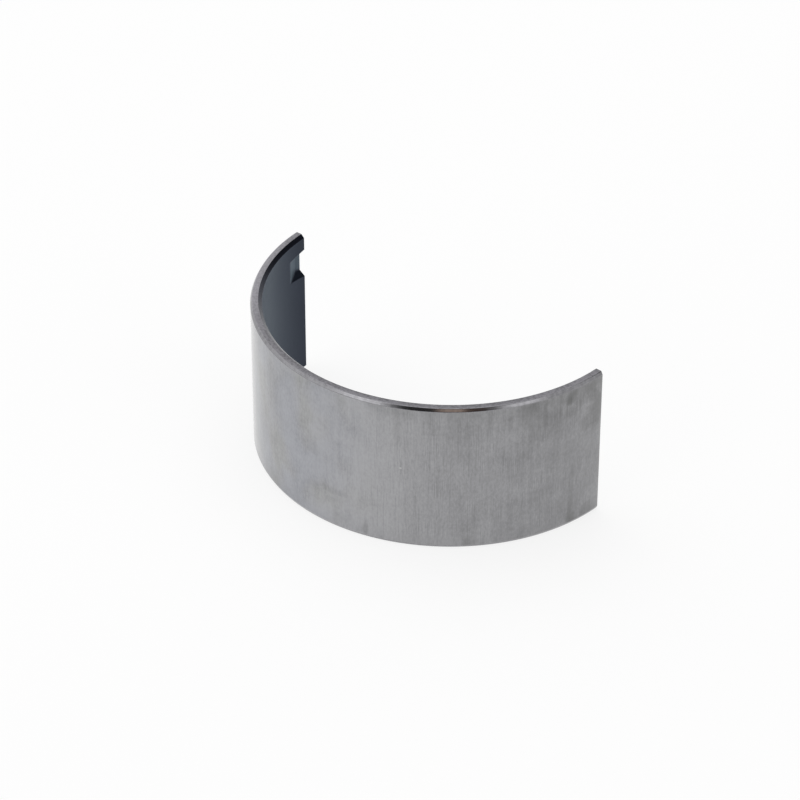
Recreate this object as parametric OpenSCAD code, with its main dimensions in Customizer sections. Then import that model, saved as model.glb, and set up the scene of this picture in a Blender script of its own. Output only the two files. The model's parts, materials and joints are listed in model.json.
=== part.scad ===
// One half of a split plain bearing for the big end of a diesel engine's connecting rod. It is a strip of
// steel with a thin bearing lining bonded to its inside, bent to a half round, chamfered along its ends and
// given a pressed locating lug. It is drawn as it lies free: the strip stands a little wider than the
// housing that it is pressed into, so its joint faces lean and its arc is a little short of a half circle.
// The origin is on the bearing's axis at mid width. +Z runs along the axis, the crown points to -Y, the open
// side with its two joint faces looks to +Y, and the lug is at the -X joint face, towards the upper end.

/* [Housing] */
// Bore of the housing that the shell is pressed into
housing_bore = 73; // [50:0.5:110]
// How much wider than the housing bore the free shell is across its joint faces
free_spread = 1.75; // [0.2:0.05:3]

/* [Strip] */
// Thickness of the wall, the steel back and the lining together
wall = 2.2; // [1.5:0.05:3.5]
// Width of the shell along its axis
shell_width = 31; // [20:0.5:50]

/* [End chamfers] */
// Depth of the chamfer round the back's edges, across the wall
back_chamfer_depth = 0.36; // [0.1:0.02:0.5]
// Length of the chamfer round the back's edges, along the axis
back_chamfer_length = 0.66; // [0.1:0.02:1]
// Chamfer along the lining's edges, the same both ways
lining_chamfer = 0.68; // [0.2:0.02:0.8]

/* [Locating lug] */
// Height of the lug above the back at the joint face, and depth of the pocket behind it
lug_height = 1.25; // [0.8:0.05:1.5]
// Width of the lug at its root, along the joint face
lug_width = 6; // [4:0.1:8]
// Length of the lug along the back, from the joint face to where it runs out
lug_length = 4.7; // [3:0.1:7]
// Length of the lug's crest, from the joint face to where it starts to slope down
lug_crest = 1.4; // [0.5:0.1:2.5]
// Lean of the lug's two flanks from straight out of the back, in degrees
flank_lean = 36; // [20:1:50]
// Angle at which each flank closes in towards the run-out, in degrees
flank_taper = 10; // [0:1:15]
// Distance from the upper end of the shell to the middle of the lug
lug_from_end = 6.35; // [5:0.05:10]

/* [Hidden] */
$fn = 180;

// The strip keeps the half circumference of its housing, so opening it out makes its radius larger and
// its arc shorter by the same share.
joint_lean = 90 * free_spread / housing_bore;
arc_angle = 180 - 2 * joint_lean;
back_r = housing_bore / 2 * 180 / arc_angle;
lining_r = back_r - wall;
half_width = shell_width / 2;

// Middle of the lug along the axis
lug_z = half_width - lug_from_end;
// Reach of the blocks that trim the lug, well past the lug on every side
trim_reach = 4 * (lug_width + lug_length);

// Section of the strip at one place on the arc: radius to the right, axis upwards
module strip_section() {
    polygon([
        [lining_r, lining_chamfer - half_width],
        [lining_r + lining_chamfer, -half_width],
        [back_r - back_chamfer_depth, -half_width],
        [back_r, back_chamfer_length - half_width],
        [back_r, half_width - back_chamfer_length],
        [back_r - back_chamfer_depth, half_width],
        [lining_r + lining_chamfer, half_width],
        [lining_r, half_width - lining_chamfer],
    ]);
}

// The strip bent round the axis, from the joint face with the lug at +X
module bent_strip() {
    rotate_extrude(angle = arc_angle) strip_section();
}

// All that lies below one leaning flank of the lug; side 1 is the upper flank and side -1 the lower one
module under_flank(root_r, side) {
    mirror([0, 0, side < 0 ? 1 : 0])
        translate([root_r, 0, lug_width / 2])
            rotate([-flank_taper, 0, 0])
                rotate([0, flank_lean, 0])
                    translate([-trim_reach / 2, -trim_reach / 2, -trim_reach])
                        cube(trim_reach);
}

// The form that a wedge-nosed punch presses at the joint face into a wall of the given radius: full height
// along the crest, then a straight slope that runs out on the wall, between two leaning flanks
module pressed_form(root_r) {
    run_out_angle = lug_length / root_r * 180 / PI;
    crest_end = [root_r + lug_height, lug_crest];
    run_out = root_r * [cos(run_out_angle), sin(run_out_angle)];
    // The slope goes on past the wall by half its length, so that it cuts the wall cleanly
    slope_end = run_out + (run_out - crest_end) / 2;
    translate([0, 0, lug_z]) intersection() {
        linear_extrude(trim_reach, center = true)
            polygon([
                [root_r + lug_height, -trim_reach],
                crest_end,
                slope_end,
                [slope_end.x, -trim_reach],
            ]);
        under_flank(root_r, 1);
        under_flank(root_r, -1);
    }
}

// The lug on the back, from the middle of the wall outwards and flush with the joint face
module lug() {
    intersection() {
        pressed_form(back_r);
        difference() {
            translate([0, 0, -trim_reach / 2]) cube([2 * back_r, trim_reach, trim_reach]);
            cylinder(r = back_r - wall / 2, h = 2 * trim_reach, center = true);
        }
    }
}

module bearing_shell() {
    color("slategray")
        rotate([0, 0, 180 + joint_lean])
            difference() {
                union() {
                    bent_strip();
                    lug();
                }
                pressed_form(lining_r);
            }
}

bearing_shell();
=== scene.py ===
import json
import math

import bmesh
import bpy
from mathutils import Matrix, Vector


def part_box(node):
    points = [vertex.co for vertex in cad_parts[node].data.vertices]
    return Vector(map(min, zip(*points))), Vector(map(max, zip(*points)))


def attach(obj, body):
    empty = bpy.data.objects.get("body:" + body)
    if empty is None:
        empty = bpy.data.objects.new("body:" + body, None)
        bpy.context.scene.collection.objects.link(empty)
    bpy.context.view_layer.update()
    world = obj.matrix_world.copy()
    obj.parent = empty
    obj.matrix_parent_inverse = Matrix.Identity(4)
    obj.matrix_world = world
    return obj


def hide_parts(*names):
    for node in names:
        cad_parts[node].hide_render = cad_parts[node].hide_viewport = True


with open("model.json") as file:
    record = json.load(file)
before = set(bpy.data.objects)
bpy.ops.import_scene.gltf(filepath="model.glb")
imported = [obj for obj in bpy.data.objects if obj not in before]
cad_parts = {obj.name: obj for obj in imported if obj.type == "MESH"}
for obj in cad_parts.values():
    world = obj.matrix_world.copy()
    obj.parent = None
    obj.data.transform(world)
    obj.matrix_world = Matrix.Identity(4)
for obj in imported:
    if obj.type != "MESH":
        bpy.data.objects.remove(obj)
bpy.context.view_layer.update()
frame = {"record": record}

# Bent strip and lug
# The shell is a flat strip of steel with a thin soft lining bonded to one face. A press bends it to a
# half round and pushes the locating lug out of the wall at one joint face, and a lathe chamfers its ends.
# Sizes are in millimetres, and a turn is the angle along the strip from the lug's joint face.
MM = 0.001
mounts = {mount["name"]: mount for mount in frame["record"]["mounts"]}
journal = mounts["journal_surface"]["dims"]
back_r = -mounts["housing_seat"]["pos_m"][1] / MM
lining_r = journal["r_mm"]
middle_r = (back_r + lining_r) / 2
half_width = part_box("bearing_shell")[1].z / MM
joint_lean = math.asin(mounts["plain_joint_face"]["axis"][0])
arc = math.pi - 2 * joint_lean
back_chamfer_depth = 0.36
back_chamfer_length = 0.66
lining_chamfer = half_width - journal["length_mm"] / 2
# Widths of the broken edges, at the joint faces and along both kinds of chamfer
joint_round = 0.05
back_edge_round = 0.13
lining_edge_round = 0.039

lug_top = Vector(mounts["locating_lug"]["pos_m"]) / MM
lug_height = lug_top.xy.length - back_r
lug_z = lug_top.z
lug_width = 6.0
lug_length = 4.7
lug_crest = 1.4
flank_lean = math.radians(36)
flank_taper = math.radians(10)
# The punch leaves crisp corners in the pocket, and rounder ones on the lug
pocket_round = 0.12
lug_round = 0.35
# The wall is as it was before the press from this far past the lug
lug_margin = 1.0
# The painted light on the pocket's floor gives way to the painted shade on its flanks over this
# difference of the punch's two heights
floor_to_flank_fade = 0.9

# Steps of the mesh, fine round the lug to a little past it, and plain bands along the ends
fine_step = 0.1
coarse_step = 0.9
fine_margin = 1.2
end_band = 1.2


def rounded_min(a, b, rounding):
    """The smaller of two heights, with a rounding where they cross."""
    share = min(max(0.5 + 0.5 * (b - a) / rounding, 0), 1)
    return b + (a - b) * share - rounding * share * (1 - share)


def punch(turn, z, root_r):
    """Heights of the punch's nose and flank over a wall of this radius, at an angle and a height."""
    along = Vector((math.cos(turn), math.sin(turn)))
    run_out = root_r * Vector((math.cos(lug_length / root_r), math.sin(lug_length / root_r)))
    crest_end = Vector((root_r + lug_height, lug_crest))
    slope = Vector((run_out.y - crest_end.y, crest_end.x - run_out.x))
    nose = min(crest_end.x / along.x, slope.dot(crest_end) / slope.dot(along))
    flank = Vector((math.sin(flank_lean), math.cos(flank_lean) * math.sin(flank_taper)))
    from_edge = lug_width / 2 - abs(z - lug_z)
    flank_rise = flank.x * root_r + math.cos(flank_lean) * math.cos(flank_taper) * from_edge
    return nose - root_r, flank_rise / flank.dot(along) - root_r


def pressed_out(turn, z, root_r, rounding):
    """How far the punch moved a wall of this radius outwards, at an angle and a height."""
    if turn * root_r > lug_length + lug_margin:
        return 0.0
    return -rounded_min(0, -rounded_min(*punch(turn, z, root_r), rounding), rounding)


def pocket_rub(turn, z):
    """Which face of the pocket this is: up to 1 on its floor, which gets painted light, down to -1 on its
    flanks, which get painted shade.
    """
    nose, flank = punch(turn, z, lining_r)
    if turn * lining_r > lug_length or min(nose, flank) < 0:
        return 0.0
    return min(max((flank - nose) / floor_to_flank_fade, -1.0), 1.0)


def stations(start, stop, step):
    """Even places from start to stop, about a step apart."""
    count = max(round((stop - start) / step), 1)
    return [start + (stop - start) * i / count for i in range(count + 1)]


lug_reach = lug_width / 2 + lug_margin
lug_low = lug_z - lug_reach
lug_high = lug_z + lug_reach
wall_edge = half_width - end_band
inner_heights = (
    stations(-wall_edge, lug_low, coarse_step)[:-1]
    + stations(lug_low, lug_high, fine_step)
    + stations(lug_high, wall_edge, coarse_step)[1:]
)
fine_arc = (lug_length + fine_margin) / middle_r
round_arc = joint_round / middle_r
round_turns = [round_arc * (1 - math.sin(math.radians(angle))) for angle in (90, 60, 30)]
turns = (
    round_turns
    + stations(round_arc, fine_arc, fine_step / middle_r)[:-1]
    + stations(fine_arc, arc - round_arc, coarse_step / middle_r)
    + [arc - turn for turn in reversed(round_turns)]
)

# Faces of the strip, in the order of their material slots
BACK, END_FACE, BACK_CHAMFER, LINING, LINING_CHAMFER, JOINT_FACE = range(6)


def section(turn):
    """A section of the strip from its lower back edge: radius, height and the face that starts there."""
    short_of_round = max(joint_round - min(turn, arc - turn) * middle_r, 0)
    inset = joint_round - math.sqrt(joint_round**2 - short_of_round**2)
    back_edge = half_width - back_chamfer_length
    lining_edge = half_width - lining_chamfer
    end = half_width - inset
    for z in [-back_edge, *inner_heights]:
        yield back_r - inset + pressed_out(turn, z, back_r, lug_round), z, BACK
    yield back_r - inset, back_edge, BACK_CHAMFER
    yield back_r - back_chamfer_depth, end, END_FACE
    yield lining_r + lining_chamfer, end, LINING_CHAMFER
    for z in [lining_edge, *reversed(inner_heights)]:
        yield lining_r + inset + pressed_out(turn, z, lining_r, pocket_round), z, LINING
    yield lining_r + inset, -lining_edge, LINING_CHAMFER
    yield lining_r + lining_chamfer, -end, END_FACE
    yield back_r - back_chamfer_depth, -end, BACK_CHAMFER


shape = bmesh.new()
strip_place = shape.loops.layers.uv.new("strip")
edge_weight = shape.edges.layers.float.new("bevel_weight_edge")
pocket_side_layer = shape.verts.layers.float.new("pocket_rub")
rings = []
for turn in turns:
    ring = []
    angle = math.pi + joint_lean + turn
    for radius, z, _ in section(turn):
        vertex = shape.verts.new((radius * math.cos(angle) * MM, radius * math.sin(angle) * MM, z * MM))
        vertex[pocket_side_layer] = pocket_rub(turn, z)
        ring.append((vertex, turn * middle_r, radius, z))
    rings.append(ring)


def add_face(points, face):
    """One quad between points of the rings, with its material slot and its place on the strip."""
    made = shape.faces.new([vertex for vertex, *_ in points])
    made.material_index = face
    made.smooth = face != JOINT_FACE
    for loop, (_, along, radius, z) in zip(made.loops, points):
        across = {BACK: z, LINING: z, END_FACE: radius}.get(face, radius + z)
        loop[strip_place].uv = (radius, z) if face == JOINT_FACE else (along, across)


faces_round = [face for _, _, face in section(0)]
for ring, following in zip(rings, rings[1:]):
    for i, face in enumerate(faces_round):
        j = (i + 1) % len(faces_round)
        add_face((ring[i], following[i], following[j], ring[j]), face)
# A joint face is a row of quads across the wall: point i of the back has point behind - i of the lining
# on the other side
backs = 2 + len(inner_heights)
behind = 2 * backs + 1
for ring, lug_side in ((rings[0], True), (rings[-1], False)):
    for i in range(-1, backs):
        quad = [ring[i], ring[i + 1], ring[behind - i - 1], ring[behind - i]]
        add_face(quad if lug_side else quad[::-1], JOINT_FACE)
for edge in shape.edges:
    meeting = {face.material_index for face in edge.link_faces}
    edge.smooth = len(meeting) == 1 or JOINT_FACE not in meeting
    if len(meeting) > 1 and JOINT_FACE not in meeting:
        edge[edge_weight] = 1.0 if BACK_CHAMFER in meeting else lining_edge_round / back_edge_round
shape.normal_update()

shell_mesh = bpy.data.meshes.new("bearing_shell_finish")
shape.to_mesh(shell_mesh)
shape.free()
shell = bpy.data.objects.new("bearing_shell_finish", shell_mesh)
bpy.context.scene.collection.objects.link(shell)
broken_edges = shell.modifiers.new("broken edges", "BEVEL")
broken_edges.limit_method = "WEIGHT"
broken_edges.width = back_edge_round * MM
broken_edges.segments = 3
broken_edges.harden_normals = True
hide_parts("bearing_shell")
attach(shell, "root")


# Satin steel back
# The back is rolled and ground steel, left bare apart from oil. Hairlines and faint scores run along the
# axis, bluish tarnish lies towards the lug, and stains from handling gather near the plain joint face.
# Its tone is painted lighter round the crown and darker towards the plain joint face, as painted light
# and shade.
class Wire:
    """An output of a material's nodes. Arithmetic adds Math nodes, and node() adds any other node."""

    def __init__(self, tree, socket=None):
        self.tree = tree
        self.socket = socket

    def node(self, kind, settings, inputs, output=0):
        """A node of this kind, with settings first and then a value or a wire for each named input."""
        made = self.tree.nodes.new("ShaderNode" + kind)
        for name, value in settings.items():
            setattr(made, name, value)
        for name, value in inputs.items():
            if isinstance(value, Wire):
                self.tree.links.new(value.socket, made.inputs[name])
            else:
                made.inputs[name].default_value = value
        return Wire(self.tree, made.outputs[output] if made.outputs else None)

    def math(self, operation, a, b):
        """A Math node on two numbers or wires."""
        return self.node("Math", {"operation": operation}, {0: a, 1: b})

    def __add__(self, other):
        return self.math("ADD", self, other)

    def __sub__(self, other):
        return self.math("SUBTRACT", self, other)

    def __rsub__(self, other):
        return self.math("SUBTRACT", other, self)

    def __mul__(self, other):
        return self.math("MULTIPLY", self, other)

    __radd__ = __add__
    __rmul__ = __mul__

    def within(self, nought_at, one_at):
        """A smooth step from 0 at one value to 1 at the other, which may be the lower of the two."""
        inputs = {"Value": self, "From Min": nought_at, "From Max": one_at}
        return self.node("MapRange", {"interpolation_type": "SMOOTHSTEP"}, inputs)

    def noise(self, stretch, detail=2.0, roughness=0.5):
        """Noise over the strip, with features about stretch millimetres along and across it."""
        scale = (1 / stretch[0], 1 / stretch[1], 1)
        placed = self.node("Mapping", {"vector_type": "POINT"}, {"Vector": self, "Scale": scale})
        inputs = {"Vector": placed, "Scale": 1.0, "Detail": detail, "Roughness": roughness}
        return self.node("TexNoise", {"noise_dimensions": "2D"}, inputs)

    def spot(self, middle, reach, ragged):
        """1 in the inner fifth of a spot, fading to 0 at its reach both ways, with a ragged outline."""
        location = (-middle[0] / reach[0], -middle[1] / reach[1], 0)
        inputs = {"Vector": self, "Location": location, "Scale": (1 / reach[0], 1 / reach[1], 1)}
        placed = self.node("Mapping", {"vector_type": "POINT"}, inputs)
        distance = self.node("VectorMath", {"operation": "LENGTH"}, {0: placed}, output="Value")
        return 1 - (distance + ragged).within(0.2, 1.0)

    def mix(self, first, second, blend="MIX"):
        """The first colour where this is 0, and the second where it is 1, or the two blended there."""
        settings = {"data_type": "RGBA", "blend_type": blend}
        return self.node("Mix", settings, {0: self, 6: first, 7: second}, output=2)


def new_finish(face, name, constants):
    """A material for one face of the strip: its shader, and the place on the strip in millimetres."""
    material = bpy.data.materials.new(name)
    material.use_nodes = True
    shell_mesh.materials[face] = material
    shader = material.node_tree.nodes["Principled BSDF"]
    for socket, value in constants.items():
        shader.inputs[socket].default_value = value
    return shader, Wire(material.node_tree).node("UVMap", {"uv_map": "strip"}, {})


def feed(shader, **wires):
    """Links wires to the shader's sockets, which are named with underscores for spaces."""
    for socket, wire in wires.items():
        wire.tree.links.new(wire.socket, shader.inputs[socket.replace("_", " ")])


def grey(level, tint=(1.0, 1.0, 1.0)):
    """A colour from a level of grey and a tint."""
    return tuple(level * part for part in tint) + (1.0,)


# One material slot for each face of the strip
for _ in range(JOINT_FACE + 1):
    shell_mesh.materials.append(None)

# Places on the back, each with its middle along and across the strip and its reach both ways
tarnish_place = ((42.0, 0.0), (30.0, 80.0))
# The next two are a painted light round the crown and a painted shade towards the plain joint face
painted_light_place = ((60.0, 0.0), (22.0, 60.0))
painted_shade_place = ((110.0, 4.0), (28.0, 60.0))
nick_place = ((72.1, 1.8), (0.34, 0.28))
# The same for each stain, and how dark it is
stains = (
    ((103.4, 13.6), (2.6, 2.2), 0.36),
    ((103.4, 12.8), (0.9, 1.5), 0.45),
    ((95.6, 10.6), (5.5, 7.5), 0.22),
    ((109.8, 9.0), (4.4, 6.8), 0.5),
    ((104.4, -14.6), (2.0, 4.6), 0.5),
    ((104.2, -9.0), (0.9, 6.5), 0.18),
    ((108.2, -14.0), (3.6, 2.4), 0.2),
    ((84.2, -15.2), (1.4, 5.2), 0.36),
    ((65.4, -13.4), (0.9, 1.9), 0.25),
    ((58.8, -7.3), (4.5, 1.2), 0.12),
    ((54.7, 0.4), (3.4, 2.2), 0.12),
    ((71.3, 10.6), (1.2, 6.0), 0.15),
    ((105.5, 15.5), (17.0, 7.0), 0.28),
    ((92.0, 16.0), (36.0, 6.5), 0.18),
)
steel_tint = (0.992, 0.992, 1.022)
tarnish_blue = (0.91, 0.93, 0.98, 1.0)
tarnish_straw = (1.0, 1.0, 0.96, 1.0)
stain_colour = grey(0.1, (0.99, 1.0, 0.96))
nick_colour = grey(0.46)
oiled = {"Coat Weight": 1.0, "Coat IOR": 1.3, "Coat Roughness": 0.12}
shader, place = new_finish(BACK, "satin steel back", {"Metallic": 1.0, "Anisotropic": 0.3, **oiled})
grain = place.noise((0.4, 0.8), detail=3.0, roughness=0.6)
hairlines = place.noise((0.12, 4.5), detail=3.0, roughness=0.6)
streaks = place.noise((0.8, 25.0))
clouds = place.noise((4.5, 6.0), detail=4.0, roughness=0.6)
patina = place.noise((9.0, 13.0))
ragged = 1.3 * (clouds - 0.5) + 0.4 * (streaks - 0.5)
uneven = 0.3 * ragged
tarnished = place.spot(*tarnish_place, uneven)
painted_light_patch = place.spot(*painted_light_place, uneven)
painted_shade_end = place.spot(*painted_shade_place, uneven)
combed = place.noise((5.0, 7.0), detail=1.0).within(0.42, 0.62) * (1 - 0.6 * tarnished)
scored = place.noise((0.4, 13.0), detail=1.0).within(0.6, 0.74) * (1 - tarnished) * (1 - 0.6 * painted_shade_end)
cloudy = (0.26 + 0.28 * tarnished) * (clouds - 0.5) - 0.08 * scored
mottled = cloudy + 0.25 * grain + 0.4 * (hairlines - 0.5) * combed + 0.12 * streaks + 0.315
# Painted light round the crown and painted shade towards the plain joint face
tone = (mottled + 0.14 * painted_light_patch - 0.09 * painted_shade_end).within(0.2, 0.8)
steel = tone.mix(grey(0.2, steel_tint), grey(0.4, steel_tint))
blueness = tarnished * (0.35 + 0.65 * patina.within(0.4, 0.6))
blued = blueness.mix(steel, tarnish_blue, "MULTIPLY")
tinted = (tarnished * patina.within(0.44, 0.32)).mix(blued, tarnish_straw, "MULTIPLY")
clean = 1.0
for middle, reach, strength in stains:
    clean = clean * (1 - strength * place.spot(middle, reach, ragged))
stained = clean.mix(stain_colour, tinted)
nicked = place.spot(*nick_place, 0.2 * ragged).mix(stained, nick_colour)
bump = place.node("Bump", {}, {"Strength": 0.1, "Distance": 0.02 * MM, "Height": hairlines})
feed(shader, Base_Color=nicked, Roughness=0.28 + 0.14 * clouds, Normal=bump)

# Turned ends and back chamfers
# Both ends of the shell are faced and chamfered in a lathe. The faces keep a fine turned grain and are
# duller towards the lining, and the narrow chamfers round the back are almost like a mirror. Near the lug
# and the plain joint the end faces carry a painted highlight.
inner_edge = lining_r + lining_chamfer
turned_tint = (1.0, 0.98, 1.06)
# Painted highlights on the end faces, in place of the glint of the turned grain, with their middle and
# reach as on the back
lug_end_highlight_place = ((17.0, back_r), (24.0, 200.0))
plain_end_highlight_place = ((105.0, back_r), (14.0, 200.0))
shader, place = new_finish(END_FACE, "turned end face", {"Metallic": 1.0})
grain = place.noise((14.0, 0.06), detail=3.0)
patches = place.noise((4.0, 4.0), detail=3.0)
speckle = place.noise((0.6, 0.4), detail=2.0)
from_axis = place.node("SeparateXYZ", {}, {0: place}, output="Y")
outwards = from_axis.within(inner_edge - 0.2, inner_edge + 1.0)
tone = (0.2 * grain + 0.3 * patches + 0.8 * speckle + 0.14 * outwards - 0.22).within(0.3, 0.7)
dull = tone.mix(grey(0.14, turned_tint), grey(0.225, turned_tint))
# The brighter copy of the steel is a painted highlight, laid near the lug and, fainter, near the plain
# joint
bright = tone.mix(grey(0.24, turned_tint), grey(0.335, turned_tint))
lug_end_highlight = place.spot(*lug_end_highlight_place, patches - 0.5)
plain_end_highlight = place.spot(*plain_end_highlight_place, patches - 0.5)
steel = (lug_end_highlight + 0.25 * plain_end_highlight).mix(dull, bright)
bump = place.node("Bump", {}, {"Strength": 0.1, "Distance": 0.01 * MM, "Height": grain})
feed(shader, Base_Color=steel, Roughness=0.3 + 0.12 * patches, Normal=bump)

bright_tint = (1.0, 0.99, 1.04)
shader, place = new_finish(BACK_CHAMFER, "bright chamfer", {"Metallic": 1.0})
grain = place.noise((20.0, 0.05), detail=3.0)
speckle = place.noise((0.8, 0.5), detail=2.0)
tone = (0.5 * grain + 0.5 * speckle).within(0.3, 0.7)
steel = tone.mix(grey(0.21, bright_tint), grey(0.3, bright_tint))
bump = place.node("Bump", {}, {"Strength": 0.06, "Distance": 0.005 * MM, "Height": grain})
feed(shader, Base_Color=steel, Roughness=0.1 + 0.08 * grain, Normal=bump)

# Bearing lining
# The lining is a soft alloy under a thin dark plating, bored smooth, and its chamfers are plated too.
# Where the press pushed out the lug, the pocket's floor is painted paler and its flanks darker, as
# painted light and painted shade.
plating_tint = (0.8, 0.89, 1.32)
# Painted light on the pocket's floor and painted shade on its flanks
pocket_floor = grey(0.112, (0.8, 1.0, 1.2))
pocket_flank = grey(0.015, (0.7, 0.9, 1.5))
plated = {"Metallic": 1.0, "Specular Tint": (0.88, 0.95, 1.0, 1.0)}
shader, place = new_finish(LINING, "dark lining", plated)
bored = place.noise((30.0, 0.1), detail=3.0)
clouds = place.noise((9.0, 12.0), detail=3.0)
pocket_side = place.node("Attribute", {"attribute_name": "pocket_rub"}, {}, output="Fac")
on_floor = pocket_side.within(0.0, 1.0)
on_flank = pocket_side.within(0.0, -0.3)
tone = (0.7 * clouds + 0.3 * bored).within(0.3, 0.7)
running = tone.mix(grey(0.028, plating_tint), grey(0.036, plating_tint))
lined = on_flank.mix(on_floor.mix(running, pocket_floor), pocket_flank)
bump = place.node("Bump", {}, {"Strength": 0.05, "Distance": 0.005 * MM, "Height": bored})
feed(shader, Base_Color=lined, Roughness=0.36 + 0.1 * clouds + 0.14 * on_floor, Normal=bump)

shader, place = new_finish(LINING_CHAMFER, "plated chamfer", {"Metallic": 1.0})
bored = place.noise((20.0, 0.06), detail=3.0)
plate = bored.within(0.3, 0.7).mix(grey(0.025, plating_tint), grey(0.034, plating_tint))
bump = place.node("Bump", {}, {"Strength": 0.06, "Distance": 0.005 * MM, "Height": bored})
feed(shader, Base_Color=plate, Roughness=0.2 + 0.1 * bored, Normal=bump)

# Joint faces
# The two straight ends of the strip are broached to length and bear on the other half shell, with their
# edges broken by a file.
shader, place = new_finish(JOINT_FACE, "broached joint face", {"Metallic": 1.0})
broached = place.noise((0.08, 6.0), detail=3.0)
patches = place.noise((2.0, 3.0), detail=3.0)
tone = (0.6 * broached + 0.4 * patches).within(0.3, 0.7)
steel = tone.mix(grey(0.3), grey(0.4))
bump = place.node("Bump", {}, {"Strength": 0.15, "Distance": 0.01 * MM, "Height": broached})
feed(shader, Base_Color=steel, Roughness=0.3 + 0.15 * patches, Normal=bump)

# Floor
# A plain sweep of white paper under the shell, which takes its soft shadow. What the camera and the steel
# see of it is mostly plain white, so the shadow stays faint. Distances of the stage are in metres.
floor_reach = 8.0
floor_z = -half_width * MM
plain_white = 0.8
corner_signs = ((-1, -1), (1, -1), (1, 1), (-1, 1))
floor_mesh = bpy.data.meshes.new("floor")
floor_corners = [(x * floor_reach, y * floor_reach, floor_z) for x, y in corner_signs]
floor_mesh.from_pydata(floor_corners, [], [(0, 1, 2, 3)])
floor = bpy.data.objects.new("floor", floor_mesh)
bpy.context.scene.collection.objects.link(floor)

paper = bpy.data.materials.new("white paper")
paper.use_nodes = True
paper.node_tree.nodes.clear()
start = Wire(paper.node_tree)
ray_kinds = ("Is Camera Ray", "Is Glossy Ray", "Is Transmission Ray")
seen = [start.node("LightPath", {}, {}, output=kind) for kind in ray_kinds]
directly = start.math("MAXIMUM", start.math("MAXIMUM", seen[0], seen[1]), seen[2])
lit = start.node("BsdfDiffuse", {}, {"Color": grey(0.9)})
white = start.node("Emission", {}, {"Color": grey(1.0), "Strength": 1.0})
shown = start.node("MixShader", {}, {0: directly * plain_white, 1: lit, 2: white})
start.node("OutputMaterial", {}, {"Surface": shown})
floor_mesh.materials.append(paper)

# Camera
# A long lens looks down on the back of the shell, past the crown to the inside of the lug's end. It is
# placed by its angle round the axis from the crown's side, its angle above the floor and its distance.
camera_azimuth = math.radians(40.095)
camera_elevation = math.radians(34.6445)
camera_roll = math.radians(0.0817)
camera_distance = 0.651961
camera_target = Vector((-1.6225, -12.3808, -2.4112)) * MM
outward = Vector((math.sin(camera_azimuth), -math.cos(camera_azimuth), 0))
rightward = Vector((math.cos(camera_azimuth), math.sin(camera_azimuth), 0))
upward = Vector((0, 0, 1))
backward = outward * math.cos(camera_elevation) + upward * math.sin(camera_elevation)
lens = bpy.data.cameras.new("camera")
lens.lens = 155.396
lens.sensor_width = 36.0
lens.clip_start = 0.01
camera = bpy.data.objects.new("camera", lens)
facing = Matrix((rightward, backward.cross(rightward), backward)).transposed()
turned = facing @ Matrix.Rotation(camera_roll, 3, "Z")
camera.matrix_world = Matrix.Translation(camera_target + backward * camera_distance) @ turned.to_4x4()
bpy.context.scene.collection.objects.link(camera)
bpy.context.scene.camera = camera


# Studio
# An even grey tent stands round the shell, open and so dark round the camera. Its soft panels are placed
# by degrees to the right of the camera and above the floor, and a large soft light hangs overhead.
def toward(right, height):
    """The direction so many degrees to the right of the camera and above the floor."""
    right, height = math.radians(right), math.radians(height)
    level = outward * math.cos(right) + rightward * math.sin(right)
    return level * math.cos(height) + upward * math.sin(height)


# Each panel's place, the angles from its middle where it starts to fade and has faded, and its colour
panels = (
    ((-100, 20), (40, 75), grey(1.15)),
    ((90, 20), (40, 70), grey(0.9)),
    ((112, 26), (14, 32), grey(0.18)),
    ((-46, 18), (7, 20), grey(1.9)),
    ((40, 20), (5, 14), grey(1.5)),
    ((-4, 22), (16, 36), grey(0.06)),
    ((11, 22), (3, 12), (0.13, 0.09, 0.075, 1.0)),
    ((1, 22), (3, 9), (0.88, 0.69, 0.57, 1.0)),
)
tent = bpy.data.worlds.new("tent")
tent.use_nodes = True
tent.node_tree.nodes.clear()
start = Wire(tent.node_tree)
ray = start.node("TexCoord", {}, {}, output="Generated")
inside = grey(0.85)
for panel_place, (fading, faded), panel_colour in panels:
    directions = {0: ray, 1: toward(*panel_place)}
    nearness = start.node("VectorMath", {"operation": "DOT_PRODUCT"}, directions, output="Value")
    on_panel = nearness.within(math.cos(math.radians(faded)), math.cos(math.radians(fading)))
    inside = on_panel.mix(inside, panel_colour)
background = start.node("Background", {}, {"Color": inside, "Strength": 1.0})
start.node("OutputWorld", {}, {"Surface": background})
bpy.context.scene.world = tent

light_distance = 0.8
soft_light = bpy.data.lights.new("soft light", "AREA")
soft_light.shape = "DISK"
soft_light.size = 1.0
soft_light.energy = 1.6
hung_light = bpy.data.objects.new("soft light", soft_light)
hung_light.location = toward(-150, 78) * light_distance
hung_light.rotation_euler = hung_light.location.to_track_quat("Z", "Y").to_euler()
bpy.context.scene.collection.objects.link(hung_light)

bpy.context.scene.view_settings.view_transform = "Standard"
